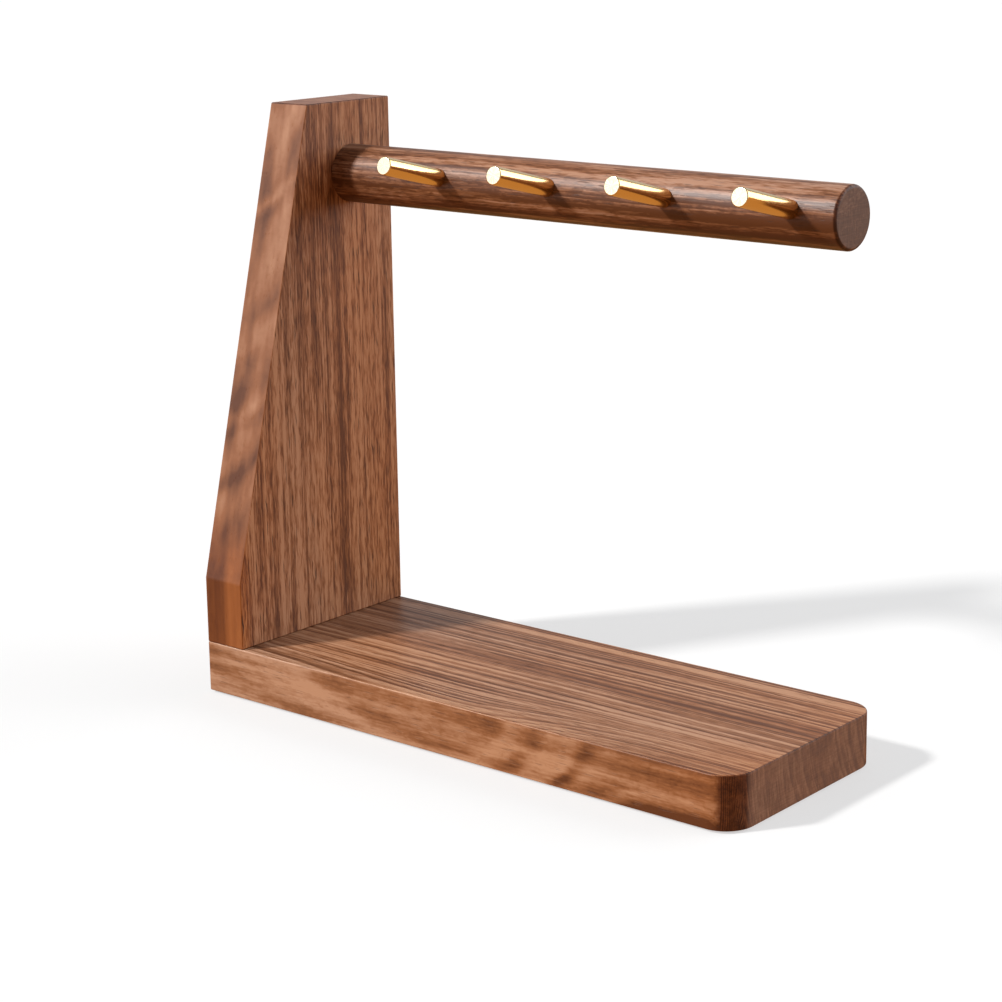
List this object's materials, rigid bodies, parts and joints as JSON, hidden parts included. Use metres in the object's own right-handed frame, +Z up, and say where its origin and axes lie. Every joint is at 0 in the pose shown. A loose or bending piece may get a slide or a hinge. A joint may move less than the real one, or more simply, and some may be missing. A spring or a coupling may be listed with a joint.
{
  "type": "headphone stand",
  "caption": "Walnut headphone stand: a flat base, a tapered upright at its rear and a round cantilever rod with brass side pegs for earphones and cables.",
  "frame": {"origin": "at table level, under the middle of the base's length and width", "axes": "+X along the base towards the rod's free end, +Y towards the far side that the rod is nearer to, +Z up; the pegs point towards -Y"},
  "size_m": [0.22, 0.08, 0.2],
  "materials": {
    "walnut_base": "oiled, satin",
    "walnut_upright": "oiled, satin",
    "walnut_rod": "oiled, satin",
    "dowel_beech": "planed, raw",
    "peg_brass": "polished",
    "insert_brass": "machined",
    "zinc_steel": "zinc plated",
    "pad_rubber": "matt"
  },
  "bodies": {
    "root": {"base_board": "walnut_base", "upright_board": "walnut_upright", "hanging_rod": "walnut_rod", "peg_1": "peg_brass", "peg_2": "peg_brass", "peg_3": "peg_brass", "peg_4": "peg_brass", "rod_stud": "zinc_steel", "rod_insert": "insert_brass", "base_screw_near": "zinc_steel", "base_screw_far": "zinc_steel", "screw_washer_near": "zinc_steel", "screw_washer_far": "zinc_steel", "foot_insert_near": "insert_brass", "foot_insert_far": "insert_brass", "dowel_near": "dowel_beech", "dowel_far": "dowel_beech", "pad_rear_near": "pad_rubber", "pad_rear_far": "pad_rubber", "pad_front_near": "pad_rubber", "pad_front_far": "pad_rubber"}
  },
  "joints": []
}
